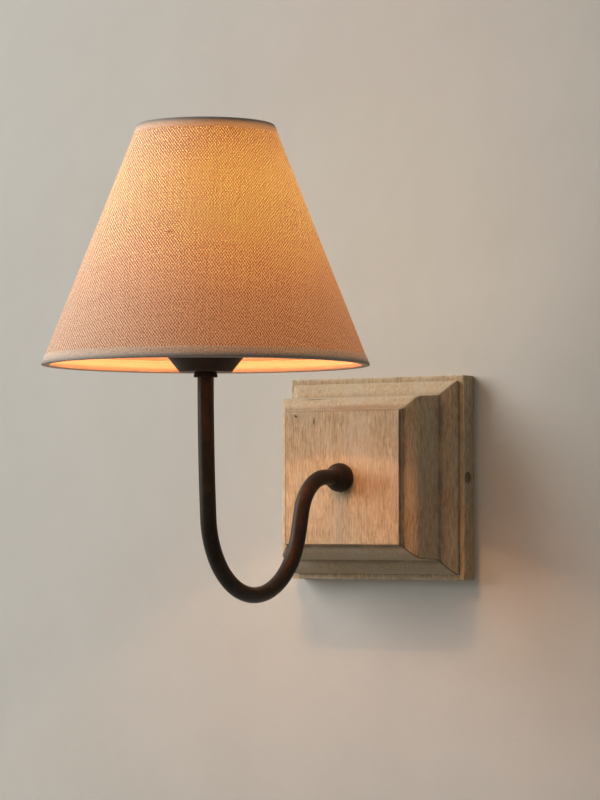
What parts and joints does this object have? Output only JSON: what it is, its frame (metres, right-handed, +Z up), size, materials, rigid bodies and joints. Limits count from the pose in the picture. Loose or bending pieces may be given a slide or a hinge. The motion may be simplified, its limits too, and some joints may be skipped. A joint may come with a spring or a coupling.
{
  "type": "wall lamp",
  "caption": "Wall lamp with a moulded square timber block, a dark swan-neck iron arm and a tapered linen shade over a screw-in bulb.",
  "frame": {"origin": "on the wall, midway between the bracket's two screw slots, at the middle of the timber block's back", "axes": "+X to the right as seen from the room, +Y into the wall, +Z up"},
  "size_m": [0.229, 0.3576, 0.3343],
  "materials": {
    "timber": "limed, matt",
    "iron": "dark brown, soft sheen",
    "steel": "zinc plated",
    "brass": "plain",
    "bush": "matt",
    "connector": "matt",
    "holder": "matt",
    "live": "smooth",
    "neutral": "smooth",
    "earth": "smooth",
    "ceramic": "glazed",
    "opal": "frosted",
    "clear_glass": "clear",
    "cap_metal": "bright",
    "black_glass": "glossy",
    "phosphor": "matt",
    "linen": "natural weave",
    "lining": "smooth",
    "tape": "fine weave",
    "frame_wire": "white"
  },
  "bodies": {
    "fixture": {"base_board": "timber", "moulded_block": "timber", "arm_tube": "iron", "ball_collar": "iron", "lock_nut": "iron", "lamp_cup": "iron", "wall_bracket": "steel", "side_screws": "steel", "terminal_screws": "steel", "terminal_fixing": "steel", "earth_screw": "steel", "earth_lug": "steel", "rear_washer": "steel", "rear_nut": "steel", "holder_screws": "steel", "terminal_clamps": "brass", "holder_terminals": "brass", "screw_shell": "brass", "centre_contact": "brass", "cable_grommet": "bush", "terminal_block": "connector", "holder_cap": "holder", "holder_body": "holder", "shade_ring": "holder", "live_wire": "live", "neutral_wire": "neutral", "earth_wire": "earth", "contact_block": "ceramic"},
    "shade": {"fitter_ring": "frame_wire", "fitter_arm_1": "frame_wire", "fitter_arm_2": "frame_wire", "fitter_arm_3": "frame_wire", "bottom_wire": "frame_wire", "top_wire": "frame_wire", "shade_liner": "lining", "shade_linen": "linen", "bottom_trim": "tape", "top_trim": "tape"},
    "bulb_tip": {"bulb_contact": "brass"},
    "bulb": {"bulb_globe": "opal", "bulb_cap": "cap_metal", "bulb_insulator": "black_glass", "bulb_stem": "clear_glass", "bulb_filaments": "phosphor"}
  },
  "joints": [
    {"name": "shade_turn", "type": "hinge", "parent": "fixture", "child": "shade", "pos_m": [0, -0.24313, 0.1021], "axis": [0, 0, 1], "continuous": true},
    {"name": "bulb_lift", "type": "slide", "parent": "fixture", "child": "bulb_tip", "axis": [0, 0, 1], "range_m": [0, 0.01815]},
    {"name": "bulb_turn", "type": "hinge", "parent": "bulb_tip", "child": "bulb", "pos_m": [0, -0.24313, 0.1061], "axis": [0, 0, 1], "range_deg": [0, 1800]}
  ],
  "couplings": [
    {"joint": "bulb_lift", "follows": "bulb_turn", "m_per_rad": 0.00057757}
  ]
}
